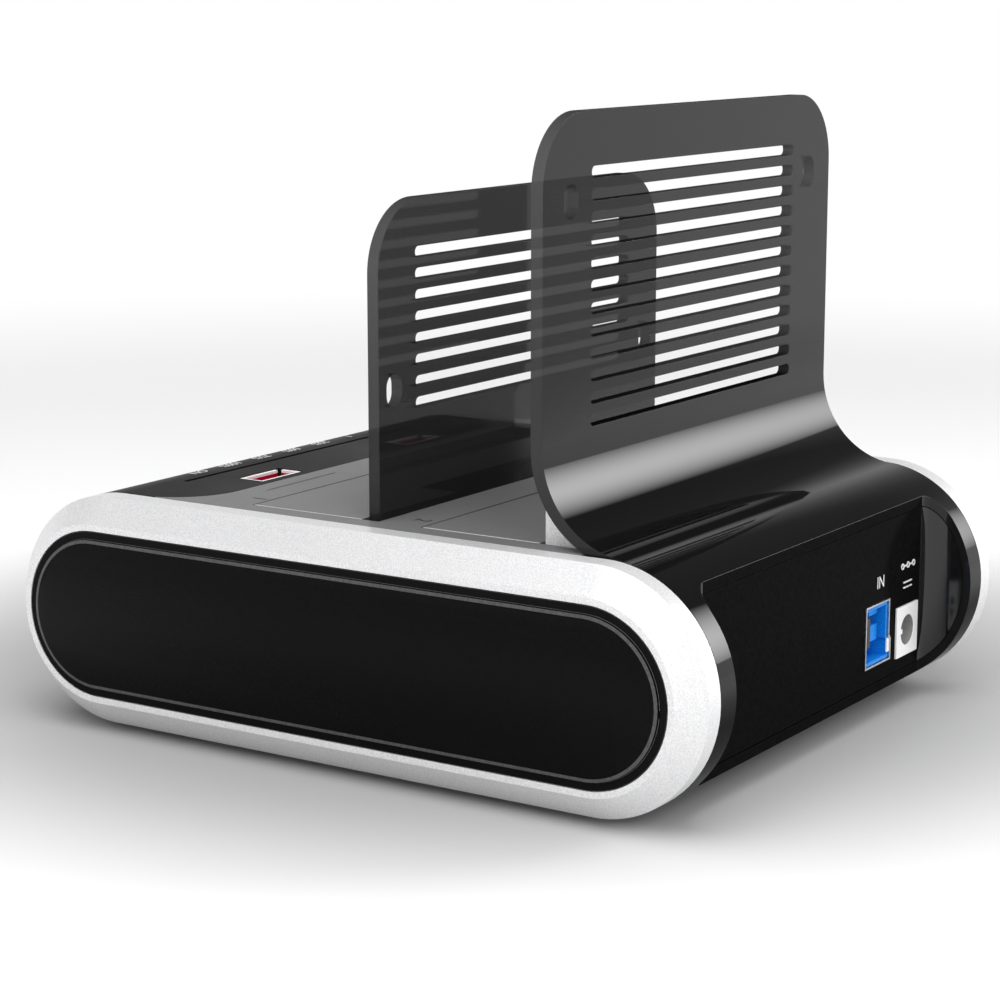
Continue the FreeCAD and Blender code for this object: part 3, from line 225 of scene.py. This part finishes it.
# dark and light are the two ends of the speckle, gloss the two ends of the roughness
finishes = {
    "silverFrame": {"dark": (0.7, 0.7, 0.71), "light": (0.88, 0.88, 0.89), "metal": 0.3,
                    "gloss": (0.36, 0.42), "grainSize": 4200, "bump": 0.3, "depth": 0.00007},
    "silverDeck": {"dark": (0.18, 0.18, 0.184), "light": (0.22, 0.22, 0.224), "metal": 0.1,
                   "gloss": (0.4, 0.48), "grainSize": 4200, "bump": 0.1, "depth": 0.00003, "specular": 0.1},
    "pianoBlack": {"dark": (0.003, 0.003, 0.0031), "light": (0.0045, 0.0045, 0.0046), "gloss": (0.03, 0.07),
                   "grainSize": 1500, "bump": 0.02, "depth": 0.000005, "specular": 0.08},
    "bezelBlack": {"dark": (0.011, 0.011, 0.0112), "light": (0.015, 0.015, 0.0152), "gloss": (0.3, 0.4),
                   "grainSize": 2400, "bump": 0.05, "depth": 0.00001, "specular": 0.01},
    "recessBlack": {"dark": (0.004, 0.004, 0.0041), "light": (0.006, 0.006, 0.0061), "gloss": (0.08, 0.14),
                    "grainSize": 1500, "bump": 0.02, "depth": 0.000005, "specular": 0.003},
    "cheekBlack": {"dark": (0.006, 0.006, 0.0061), "light": (0.009, 0.009, 0.0091), "gloss": (0.08, 0.14),
                   "grainSize": 1500, "bump": 0.02, "depth": 0.000005, "specular": 0.5},
    "panelBlack": {"dark": (0.0025, 0.0025, 0.0026), "light": (0.0035, 0.0035, 0.0036), "gloss": (0.1, 0.16),
                   "grainSize": 1500, "bump": 0.02, "depth": 0.000005, "specular": 0.06},
    # the two paler edge finishes below are painted highlights for rounded edges
    "blackEdgeHighlight": {"dark": (0.05, 0.05, 0.051), "light": (0.07, 0.07, 0.071), "gloss": (0.15, 0.25),
                  "grainSize": 1500, "bump": 0.02, "depth": 0.000005, "specular": 0.4},
    "paleEdgeHighlight": {"dark": (0.5, 0.5, 0.502), "light": (0.6, 0.6, 0.602), "gloss": (0.15, 0.25),
                 "grainSize": 1500, "bump": 0.02, "depth": 0.000005, "specular": 0.2},
    "blackMatte": {"dark": (0.014, 0.014, 0.015), "light": (0.03, 0.03, 0.032), "gloss": (0.5, 0.6),
                   "grainSize": 1800, "bump": 0.4, "depth": 0.0001},
    "rubber": {"dark": (0.012, 0.012, 0.012), "light": (0.028, 0.028, 0.028), "gloss": (0.7, 0.85),
               "grainSize": 1400, "bump": 0.4, "depth": 0.00012},
    "steel": {"dark": (0.5, 0.5, 0.51), "light": (0.62, 0.62, 0.63), "metal": 1.0, "gloss": (0.2, 0.32),
              "grainSize": 2400, "bump": 0.1, "depth": 0.00003},
    "brass": {"dark": (0.6, 0.42, 0.16), "light": (0.75, 0.55, 0.24), "metal": 1.0, "gloss": (0.2, 0.3),
              "grainSize": 2400, "bump": 0.1, "depth": 0.00003},
    "component": {"dark": (0.012, 0.012, 0.013), "light": (0.026, 0.026, 0.028), "gloss": (0.4, 0.5),
                  "grainSize": 3000, "bump": 0.2, "depth": 0.00005},
    "powerPart": {"dark": (0.05, 0.05, 0.055), "light": (0.09, 0.09, 0.1), "gloss": (0.35, 0.5),
                  "grainSize": 2000, "bump": 0.3, "depth": 0.00008},
    "portBlue": {"dark": (0.006, 0.2, 0.68), "light": (0.009, 0.27, 0.84), "gloss": (0.28, 0.36),
                 "grainSize": 3000, "bump": 0.1, "depth": 0.00003, "specular": 0.2},
    "portWhite": {"dark": (0.9, 0.9, 0.9), "light": (0.95, 0.95, 0.95), "gloss": (0.25, 0.35),
                  "grainSize": 3000, "bump": 0.05, "depth": 0.00002},
    "jackBore": {"dark": (0.3, 0.3, 0.3), "light": (0.36, 0.36, 0.36), "gloss": (0.4, 0.5),
                 "grainSize": 3000, "bump": 0.05, "depth": 0.00002, "specular": 0.1},
    "switchRed": {"dark": (0.36, 0.002, 0.03), "light": (0.48, 0.004, 0.045), "gloss": (0.25, 0.35),
                  "grainSize": 3000, "bump": 0.08, "depth": 0.00002, "specular": 0.0},
    "lightGuide": {"dark": (0.01, 0.01, 0.011), "light": (0.02, 0.02, 0.022), "gloss": (0.15, 0.25),
                   "grainSize": 2000, "bump": 0.05, "depth": 0.00003},
    "lamp": {"dark": (0.5, 0.6, 0.8), "light": (0.62, 0.7, 0.85), "gloss": (0.1, 0.2),
             "grainSize": 2000, "bump": 0.05, "depth": 0.00003},
    "printInk": {"dark": (0.035, 0.035, 0.036), "light": (0.06, 0.06, 0.061), "gloss": (0.4, 0.5),
                 "grainSize": 6000, "bump": 0.05, "depth": 0.00002},
    "printWhite": {"dark": (0.72, 0.72, 0.72), "light": (0.82, 0.82, 0.82), "gloss": (0.4, 0.5),
                   "grainSize": 6000, "bump": 0.05, "depth": 0.00002},
}


def makeFinish(name, look):
    # moulded plastic, lacquer or metal: speckled colour, patchy gloss and a fine grain
    material, tree, shader = newMaterial(name)
    addSmudge(tree, shader, look)
    grain = addGrain(tree, shader, look)
    fill(tree, shader, {
        "Base Color": tintBetween(tree, grain.outputs["Speckle"], look["dark"], look["light"]),
        "Metallic": look.get("metal", 0.0), "Specular IOR Level": look.get("specular", 0.5),
    })
    return material


materials = {name: makeFinish(name, look) for name, look in finishes.items()}

# heights in metres: clear above clearFrom, mirror fading in from dullFrom to dullTo,
# a painted highlight on the cut faces that face along x, rising from highlightFrom to highlightTo
smokedShell = {
    "low": (0.004, 0.004, 0.0042), "high": (0.014, 0.014, 0.0143), "edge": (0.075, 0.075, 0.076),
    "alpha": 0.83, "clearFrom": 0.0665, "clearOver": 0.012, "gloss": (0.03, 0.06), "patch": 18.0,
    "plateMirror": 0.14, "coverMirror": 0.28, "dullMirror": 0.02, "dullFrom": 0.02, "dullTo": 0.034,
    "highlightFrom": 0.05, "highlightTo": 0.11, "highlightLeast": 0.1, "levelFrom": 0.7,
    "grainSize": 1500, "softness": 0.4, "bump": 0.01, "depth": 0.000004,
}


def makeSmoked(name, look, fadeIn):
    # smoked clear plastic with a painted highlight on the cut faces that face along x, opaque below the
    # flare when fadeIn is set
    material, tree, shader = newMaterial(name)
    height = splitAxes(tree, objectPlace(tree))["Z"]
    geometry = addNode(tree, "ShaderNodeNewGeometry")
    facing = splitAxes(tree, geometry.outputs["True Normal"])
    # painted highlight: faces turned along x get the paler colour, more of it higher up
    edge = mathNode(tree, "ABSOLUTE", facing["X"])
    highlightRise = mapRange(tree, height, look["highlightFrom"], look["highlightTo"], look["highlightLeast"])
    edgeHighlightMask = mathNode(tree, "MULTIPLY", edge, highlightRise)
    color, alpha, mirror, plateFrom = look["high"], look["alpha"], look["plateMirror"], 0.0
    if fadeIn:
        plateFrom = look["clearFrom"]
        plate = mapRange(tree, height, plateFrom, plateFrom + look["clearOver"])
        color = tintBetween(tree, plate, look["low"], look["high"])
        alpha = mathNode(tree, "SUBTRACT", 1.0, mathNode(tree, "MULTIPLY", plate, 1 - look["alpha"]))
        rise = mapRange(tree, height, look["dullFrom"], look["dullTo"], look["dullMirror"],
                        look["coverMirror"], smooth=True)
        coverPart = mathNode(tree, "MULTIPLY", mathNode(tree, "SUBTRACT", 1.0, plate), rise)
        mirror = mathNode(tree, "ADD", mathNode(tree, "MULTIPLY", mirror, plate), coverPart)
    # the upward faces of the slots and the top edge don't mirror
    upward = mathNode(tree, "GREATER_THAN", facing["Z"], look["levelFrom"])
    inPlate = mathNode(tree, "GREATER_THAN", height, plateFrom)
    upright = mathNode(tree, "SUBTRACT", 1.0, mathNode(tree, "MULTIPLY", upward, inPlate))
    addSmudge(tree, shader, look)
    addGrain(tree, shader, look)
    fill(tree, shader, {
        "Base Color": tintBetween(tree, edgeHighlightMask, color, look["edge"]), "Alpha": alpha,
        "Specular IOR Level": mathNode(tree, "MULTIPLY", mirror, upright),
    })
    return material


boardLook = {
    "mask": (0.012, 0.1, 0.035, 1), "maskToo": (0.014, 0.12, 0.04, 1), "track": (0.03, 0.2, 0.07, 1),
    "scale": 260, "trackWidth": 0.04, "patch": 40.0, "gloss": (0.25, 0.4), "bump": 0.2, "depth": 0.00004,
}


def makeBoard(name, look):
    # solder mask with copper tracks just under it
    material, tree, shader = newMaterial(name)
    bricks = fill(tree, addNode(tree, "ShaderNodeTexBrick"), {
        "Vector": objectPlace(tree), "Color1": look["mask"], "Color2": look["maskToo"],
        "Mortar": look["track"], "Scale": look["scale"], "Mortar Size": look["trackWidth"],
    })
    addSmudge(tree, shader, look)
    fill(tree, shader, {
        "Base Color": bricks.outputs["Color"],
        "Normal": bumpFrom(tree, bricks.outputs["Fac"], look["bump"], look["depth"]),
    })
    return material


linerLook = {
    "rimDepth": 0.0007, "well": (0.42, 0.003, 0.035), "rim": (0.9, 0.9, 0.9), "specular": 0.1,
    "patch": 60.0, "gloss": (0.3, 0.4), "grainSize": 3000, "bump": 0.05, "depth": 0.00002,
}


def makeLiner(name, look):
    # the switch frame is white at its rim and red further down the well
    material, tree, shader = newMaterial(name)
    height = splitAxes(tree, objectPlace(tree))["Z"]
    rim = mathNode(tree, "GREATER_THAN", height, deckTop - look["rimDepth"])
    addSmudge(tree, shader, look)
    addGrain(tree, shader, look)
    fill(tree, shader, {
        "Base Color": tintBetween(tree, rim, look["well"], look["rim"]),
        "Specular IOR Level": look["specular"],
    })
    return material


materials["smokedCover"] = makeSmoked("smokedCover", smokedShell, True)
materials["smokedDivider"] = makeSmoked("smokedDivider", smokedShell, False)
materials["board"] = makeBoard("board", boardLook)
materials["switchLiner"] = makeLiner("switchLiner", linerLook)
print("materials made:", len(materials))

finishOfSlot = {
    "silver_frame": "silverFrame", "silver_deck": "silverDeck", "black_panel": "panelBlack",
    "black_gloss": "pianoBlack", "black_matte": "blackMatte", "rubber_foot": "rubber", "steel": "steel",
    "brass_pin": "brass", "circuit_board": "board", "black_component": "component",
    "power_part": "powerPart", "port_blue": "portBlue", "port_white": "portWhite",
    "switch_red": "switchRed", "light_guide": "lightGuide", "lamp_blue": "lamp",
    "smoked_shell": "smokedCover",
}
finishOfNode = {
    "divider_plate": "smokedDivider", "io_panel": "recessBlack", "front_bezel": "bezelBlack",
    "switch_liner_left": "switchLiner", "switch_liner_right": "switchLiner",
}


def finishFor(node):
    return materials[finishOfNode.get(node, finishOfSlot[slotOf[node]])]


for name, node in nodes.items():
    node.data.materials.clear()
    node.data.materials.append(finishFor(name))

# edges that catch the light get a real radius: node, width in mm, segments, finish of the edge; a paler edge
# finish is a painted highlight
softEdges = {
    "end_frame_right": (0.35, 3), "end_frame_left": (0.35, 3), "end_panel_right": (0.1, 1, "blackEdgeHighlight"),
    "end_panel_left": (0.1, 1, "blackEdgeHighlight"), "top_deck": (0.15, 2, "silverFrame"),
    "bay_flap_front": (0.3, 2, "silverFrame"), "bay_flap_rear": (0.3, 2, "silverFrame"),
    "front_bezel": (0.2, 2), "rear_cover": (0.4, 2, "paleEdgeHighlight"), "divider_plate": (0.25, 2),
    "io_panel": (0.15, 2, "blackEdgeHighlight"), "switch_liner_left": (0.12, 2), "switch_liner_right": (0.12, 2),
    "switch_rocker_left": (0.25, 3), "switch_rocker_right": (0.25, 3), "dc_jack_housing": (0.2, 2),
    "usb_socket_shell": (0.08, 2), "usb_socket_insert": (0.08, 2),
}
# angles in degrees: faces flatter than flatAngle merge, edges sharper than bevelAngle are rounded
softening = {"mergeWithin": 1e-6, "flatAngle": 0.2, "bevelAngle": 32, "smoothAngle": 31}


def softCopy(name, width, segments, edgeFinish=None):
    source = nodes[name]
    piece = bpy.data.objects.new(name + "_soft", source.data.copy())
    bpy.context.collection.objects.link(piece)
    pickOnly(piece)
    bpy.ops.mesh.customdata_custom_splitnormals_clear()
    bpy.ops.object.mode_set(mode="EDIT")
    bpy.ops.mesh.select_all(action="SELECT")
    bpy.ops.mesh.remove_doubles(threshold=softening["mergeWithin"])
    bpy.ops.mesh.dissolve_limited(angle_limit=math.radians(softening["flatAngle"]))
    bpy.ops.object.mode_set(mode="OBJECT")
    finish = [finishFor(name), materials[edgeFinish] if edgeFinish else finishFor(name)]
    piece.data.materials.append(finish[1])
    bevel = piece.modifiers.new("edges", "BEVEL")
    bevel.width = width * mm
    bevel.segments = segments
    bevel.limit_method = "ANGLE"
    bevel.angle_limit = math.radians(softening["bevelAngle"])
    bevel.material = 1
    bpy.ops.object.modifier_apply(modifier="edges")
    bpy.ops.object.shade_smooth_by_angle(angle=math.radians(softening["smoothAngle"]))
    # the modelled part's own normals on all but the rounded edges
    mainFaces = piece.vertex_groups.new(name="mainFaces")
    faces = [face for face in piece.data.polygons if face.material_index == 0]
    mainFaces.add([vertex for face in faces for vertex in face.vertices], 1, "REPLACE")
    exact = piece.modifiers.new("exact", "DATA_TRANSFER")
    exact.object = source
    exact.use_loop_data = True
    exact.data_types_loops = {"CUSTOM_NORMAL"}
    exact.loop_mapping = "POLYINTERP_NEAREST"
    exact.vertex_group = "mainFaces"
    bpy.ops.object.modifier_apply(modifier="exact")
    settle(piece, bodyOf[name], slotOf[name], *finish)
    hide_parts(name)
    return piece


soft = {name: softCopy(name, *edge) for name, edge in softEdges.items()}

# sizes in metres; the rest are parts of a face's normal
faceRules = {
    "socketProud": 0.0004, "recessHalf": 0.0535, "recessDeep": 0.001, "planeWithin": 0.0001,
    "squareOn": 0.99, "cheekTurn": 0.1, "upstandFrom": 0.0008, "upstandTilt": 0.3,
    "flapEnd": 0.3, "flapTop": 0.1, "chamferFrom": 0.7, "chamferTo": 0.995,
}
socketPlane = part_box("usb_socket_shell")[1][1] - faceRules["socketProud"]


def finishFaces():
    rules = faceRules
    soft["rear_cover"].data.materials.append(materials["recessBlack"])
    for face in soft["rear_cover"].data.polygons:
        # a painted highlight on the edges only round the recess, and its cut face as dark as the socket
        # panel
        center = face.center
        roundRecess = center.y > socketPlane - rules["recessDeep"] and abs(center.x) < rules["recessHalf"]
        inPlane = abs(center.y - socketPlane) < rules["planeWithin"]
        if face.material_index == 1 and not roundRecess:
            face.material_index = 0
        elif face.normal.y > rules["squareOn"] and inPlane:
            face.material_index = 2
    soft["io_panel"].data.materials.append(materials["cheekBlack"])
    for face in soft["io_panel"].data.polygons:
        if face.material_index == 0 and abs(face.normal.x) > rules["cheekTurn"]:
            face.material_index = 2
    for face in soft["top_deck"].data.polygons:
        # painted highlight: the side of the upstand is as bright as the frames, the edges stay plain
        onUpstand = face.center.z > deckTop + rules["upstandFrom"]
        face.material_index = 1 if onUpstand and abs(face.normal.z) < rules["upstandTilt"] else 0
    for name in ("bay_flap_front", "bay_flap_rear"):
        for face in soft[name].data.polygons:
            # painted highlight: the flap ends facing +x and up take the bright frame finish
            paintedHighlight = face.normal.x > rules["flapEnd"] and face.normal.z > rules["flapTop"]
            face.material_index = 1 if paintedHighlight else 0
    for name in ("end_panel_left", "end_panel_right"):
        # the chamfer of the raised middle gets a painted highlight, a grey line round the panel
        for face in soft[name].data.polygons:
            chamfer = rules["chamferFrom"] < abs(face.normal.x) < rules["chamferTo"]
            face.material_index = 1 if chamfer else 0


finishFaces()
print("edges softened on", len(softEdges), "parts")

# the marks printed on the deck and the bezel, lift and thickness in mm
prints = {
    "lift": 0.03, "thickness": 0.02,
    "bayNumbers": [("1", 0.0478, -0.0301), ("2", 0.0478, 0.0095)], "bayNumberSize": 0.0048,
    "lineFrom": 0.017, "lineTo": 0.0402, "lineY": -0.0342, "lineWidth": 0.00035, "arrowSize": 0.0018,
    "scaleMarks": ["2", "1", "25%", "50%", "75%", "100%", "ON"], "scaleFrom": -0.0315, "scaleStep": 0.0106,
    "scaleY": -0.0587, "scaleSize": 0.003,
}
inkOnDeck = ("housing", "silver_deck", materials["printInk"])
whiteOnBlack = ("housing", "black_gloss", materials["printWhite"])


def flatText(name, words, size, place, finish, turn=0, stand=0):
    clearSelection()
    bpy.ops.object.text_add(location=place)
    text = bpy.context.object
    text.data.body = words
    text.data.size = size
    text.data.align_x = "CENTER"
    text.data.align_y = "CENTER"
    text.data.extrude = prints["thickness"] * mm / 2
    text.rotation_euler = (math.radians(stand), 0, math.radians(turn))
    text.name = name
    bpy.ops.object.convert(target="MESH")
    return settle(bpy.context.object, *finish)


def addBox(name, low, high, finish):
    clearSelection()
    middle = [(a + b) / 2 for a, b in zip(low, high)]
    bpy.ops.mesh.primitive_cube_add(size=1, location=middle, scale=[b - a for a, b in zip(low, high)])
    piece = settle(bpy.context.object, *finish)
    piece.name = name
    return piece


def makeDeckPrints():
    height = deckTop + prints["lift"] * mm
    for number, x, y in prints["bayNumbers"]:
        flatText("bay_number_" + number, number, prints["bayNumberSize"], (x, y, height), inkOnDeck)
    half, thick = prints["lineWidth"] / 2, prints["thickness"] * mm / 2
    start, stop, y = prints["lineFrom"], prints["lineTo"], prints["lineY"]
    for name, low, high in (("deck_line_right", start, stop), ("deck_line_left", -stop, -start)):
        addBox(name, (low, y - half, height - thick), (high, y + half, height + thick), inkOnDeck)
    clearSelection()
    bpy.ops.mesh.primitive_cylinder_add(vertices=3, radius=prints["arrowSize"], depth=2 * thick,
                                        location=(0, y, height))
    settle(bpy.context.object, *inkOnDeck).name = "deck_arrow"


def makeBezelPrints():
    height = deckTop + prints["lift"] * mm
    for index, mark in enumerate(prints["scaleMarks"]):
        x = prints["scaleFrom"] + index * prints["scaleStep"]
        place = (x, prints["scaleY"], height)
        flatText(f"scale_mark_{index}", mark, prints["scaleSize"], place, whiteOnBlack)


makeDeckPrints()
makeBezelPrints()

# marks, painted shade strip, painted highlight block and key rib of the two sockets; places are x and z in
# metres
ports = {
    "inWord": (-0.0283, 0.0291), "wordSize": 0.0036, "face": 0.0001, "barHalf": 0.0001,
    "dcX": -0.04165, "symbolZ": 0.0304, "symbolStep": 0.0027, "symbolRing": 0.00055, "symbolLine": 0.0003,
    "currentZ": 0.0267, "currentLong": 0.004, "currentGap": 0.0011, "currentSpread": 0.75,
    "shadeStrip": ((-0.0238, -0.0225), (0.0164, 0.0226)), "key": ((-0.0331, -0.0319), (0.0137, 0.0166)),
    "thin": 0.0001, "thick": 0.0002,
    "jackBore": 0.0032, "jackRib": 0.0011, "jackRibHalf": 0.0005, "jackDeep": 0.004, "jackLip": 0.0003,
}


def makePolaritySymbol(y):
    # three rings in a row, joined by two short links
    x, z, step = ports["dcX"], ports["symbolZ"], ports["symbolStep"]
    ring, line, half = ports["symbolRing"], ports["symbolLine"], ports["barHalf"]
    pieces = []
    for place in (-1, 0, 1):
        clearSelection()
        bpy.ops.mesh.primitive_torus_add(major_radius=ring, minor_radius=line / 2, major_segments=24,
                                         minor_segments=6, location=(x + place * step, y, z),
                                         rotation=(math.pi / 2, 0, 0))
        pieces.append(bpy.context.object)
    reach = step / 2 - ring
    for place in (-0.5, 0.5):
        middle = x + place * step
        pieces.append(addBox("link", (middle - reach, y - half, z - line / 2),
                             (middle + reach, y + half, z + line / 2), whiteOnBlack))
    settle(join(pieces, "polarity_symbol"), *whiteOnBlack)


def makeCurrentSign(y):
    # direct current: one long bar over three short ones
    x, z, half = ports["dcX"], ports["currentZ"], ports["barHalf"]
    reach, line, low = ports["currentLong"] / 2, ports["symbolLine"], z - ports["currentGap"]
    bars = [addBox("bar", (x - reach, y - half, z), (x + reach, y + half, z + line), whiteOnBlack)]
    for place in (-1, 0, 1):
        middle = x + place * reach * ports["currentSpread"]
        bars.append(addBox("bar", (middle - reach / 4, y - half, low),
                           (middle + reach / 4, y + half, low + line), whiteOnBlack))
    settle(join(bars, "current_sign"), *whiteOnBlack)


def makePortPrints():
    y = socketPlane + ports["face"]
    x, z = ports["inWord"]
    flatText("port_word_in", "IN", ports["wordSize"], (x, y, z), whiteOnBlack, turn=180, stand=90)
    makePolaritySymbol(y)
    makeCurrentSign(y)


def makePortDetails():
    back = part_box("usb_socket_insert")[1][1]
    thin, thick = ports["thin"], ports["thick"]
    (x0, x1), (z0, z1) = ports["shadeStrip"]
    # a dark strip painted as the shade in the gap beside the insert
    addBox("usb_side_shade_strip", (x0, back - thick, z0), (x1, back + thin, z1),
           ("housing", "port_blue", materials["component"]))
    # a white block painted as a highlight on the inside of the metal shell
    (x0, x1), (z0, z1) = ports["key"]
    addBox("usb_highlight_block", (x0, back - thin, z0), (x1, back + thick, z1),
           ("housing", "port_blue", materials["portWhite"]))
    low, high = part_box("dc_jack_housing")
    x, z = (low[0] + high[0]) / 2, (low[2] + high[2]) / 2
    rim, half = x + ports["jackBore"] + thick, ports["jackRibHalf"]
    addBox("jack_key_rib", (rim - ports["jackRib"], high[1] - ports["jackDeep"], z - half),
           (rim, high[1] - thin, z + half), ("housing", "port_white", materials["portWhite"]))
    # the bore is in shade
    jack = soft["dc_jack_housing"].data
    jack.materials.append(materials["jackBore"])
    for face in jack.polygons:
        fromAxis = math.hypot(face.center.x - x, face.center.z - z)
        if fromAxis < ports["jackBore"] + thin and face.center.y < high[1] - ports["jackLip"]:
            face.material_index = 2


makePortPrints()
makePortDetails()
print("printing and port details done")

# lamps: power, size, place and, for a narrow one, spread in degrees
studio = {
    # the floor colour near the object is a painted shadow, floorFar away from it
    "floorSize": 60.0, "shadowTone": 0.45, "floorFar": 0.9, "shadowFrom": 0.1, "shadowTo": 0.19,
    "shadowCentre": (-0.034, -0.022, 0.0), "fadeFrom": 0.3, "fadeTo": 0.75, "floorRough": 0.9,
    "floorSpecular": 0.1, "skyStrength": 0.55, "backdrop": [(0.15, 1.0), (0.45, 0.1)],
    "lampAim": (0, 0, 0.04),
    "lamps": {
        "key": (9.6, 1.1, (0.35, 0.1, 1.1)), "fill": (3.0, 0.8, (0.75, 0.8, 0.5)),
        "card": (0.5, 0.56, (-0.73, 0.53, 0.36), 40),
    },
}


def makeFloor():
    # pale floor with a painted shadow, greyer round the object, that fades into the white background
    clearSelection()
    bpy.ops.mesh.primitive_plane_add(size=studio["floorSize"])
    floor = bpy.context.object
    floor.name = "floor"
    material, tree, shader = newMaterial("floorPaint")
    reach = addNode(tree, "ShaderNodeVectorMath", operation="DISTANCE")
    tree.links.new(objectPlace(tree), reach.inputs[0])
    reach.inputs[1].default_value = studio["shadowCentre"]
    away = reach.outputs["Value"]
    paintedShadow = mapRange(tree, away, studio["shadowFrom"], studio["shadowTo"], studio["shadowTone"],
                    studio["floorFar"], smooth=True)
    fill(tree, shader, {"Base Color": paintedShadow, "Roughness": studio["floorRough"],
                        "Specular IOR Level": studio["floorSpecular"]})
    fade = mapRange(tree, away, studio["fadeFrom"], studio["fadeTo"], smooth=True)
    blend = addNode(tree, "ShaderNodeMixShader", Fac=fade)
    tree.links.new(shader.outputs[0], blend.inputs[1])
    tree.links.new(addNode(tree, "ShaderNodeEmission").outputs[0], blend.inputs[2])
    tree.links.new(blend.outputs[0], tree.nodes["Material Output"].inputs["Surface"])
    floor.data.materials.append(material)


def makeWorld():
    world = bpy.data.worlds.new("studio")
    bpy.context.scene.world = world
    world.use_nodes = True
    tree = world.node_tree
    tree.nodes.clear()
    path = addNode(tree, "ShaderNodeLightPath")
    seen = mathNode(tree, "MAXIMUM", path.outputs["Is Camera Ray"], path.outputs["Is Glossy Ray"])
    seen = mathNode(tree, "MAXIMUM", seen, path.outputs["Is Transmission Ray"])
    ambient = addNode(tree, "ShaderNodeBackground", Color=(1, 1, 1, 1), Strength=studio["skyStrength"])
    # the backdrop is white up to a height and darkens above it
    direction = addNode(tree, "ShaderNodeTexCoord").outputs["Generated"]
    backdrop = rampNode(tree, splitAxes(tree, direction)["Z"], studio["backdrop"])
    white = addNode(tree, "ShaderNodeBackground", Color=backdrop)
    mix = addNode(tree, "ShaderNodeMixShader", Fac=seen)
    tree.links.new(ambient.outputs[0], mix.inputs[1])
    tree.links.new(white.outputs[0], mix.inputs[2])
    tree.links.new(mix.outputs[0], addNode(tree, "ShaderNodeOutputWorld").inputs["Surface"])


def makeLamp(name, power, size, place, spread=180):
    data = bpy.data.lights.new(name, "AREA")
    data.energy = power
    data.size = size
    data.spread = math.radians(spread)
    lamp = bpy.data.objects.new(name, data)
    bpy.context.collection.objects.link(lamp)
    lamp.location = place
    toAim = Vector(studio["lampAim"]) - Vector(place)
    lamp.rotation_euler = toAim.to_track_quat("-Z", "Y").to_euler()


cameraView = {
    "azimuth": 123.006, "elevation": 11.158, "distance": 0.574, "lens": 92.85, "sensor": 36.0,
    "target": (-0.027259, -0.021629, 0.036587), "nearest": 0.01,
}


def makeCamera():
    turn, rise = math.radians(cameraView["azimuth"]), math.radians(cameraView["elevation"])
    back = Vector((math.sin(turn) * math.cos(rise), -math.cos(turn) * math.cos(rise), math.sin(rise)))
    right = Vector((math.cos(turn), math.sin(turn), 0))
    up = back.cross(right)
    data = bpy.data.cameras.new("camera")
    data.lens = cameraView["lens"]
    data.sensor_width = cameraView["sensor"]
    data.clip_start = cameraView["nearest"]
    camera = bpy.data.objects.new("camera", data)
    bpy.context.collection.objects.link(camera)
    place = Vector(cameraView["target"]) + back * cameraView["distance"]
    camera.matrix_world = Matrix.Translation(place) @ Matrix((right, up, back)).transposed().to_4x4()
    bpy.context.scene.camera = camera


makeFloor()
makeWorld()
for name, lamp in studio["lamps"].items():
    makeLamp(name, *lamp)
makeCamera()
bpy.context.scene.view_settings.view_transform = "Standard"
print("studio set")
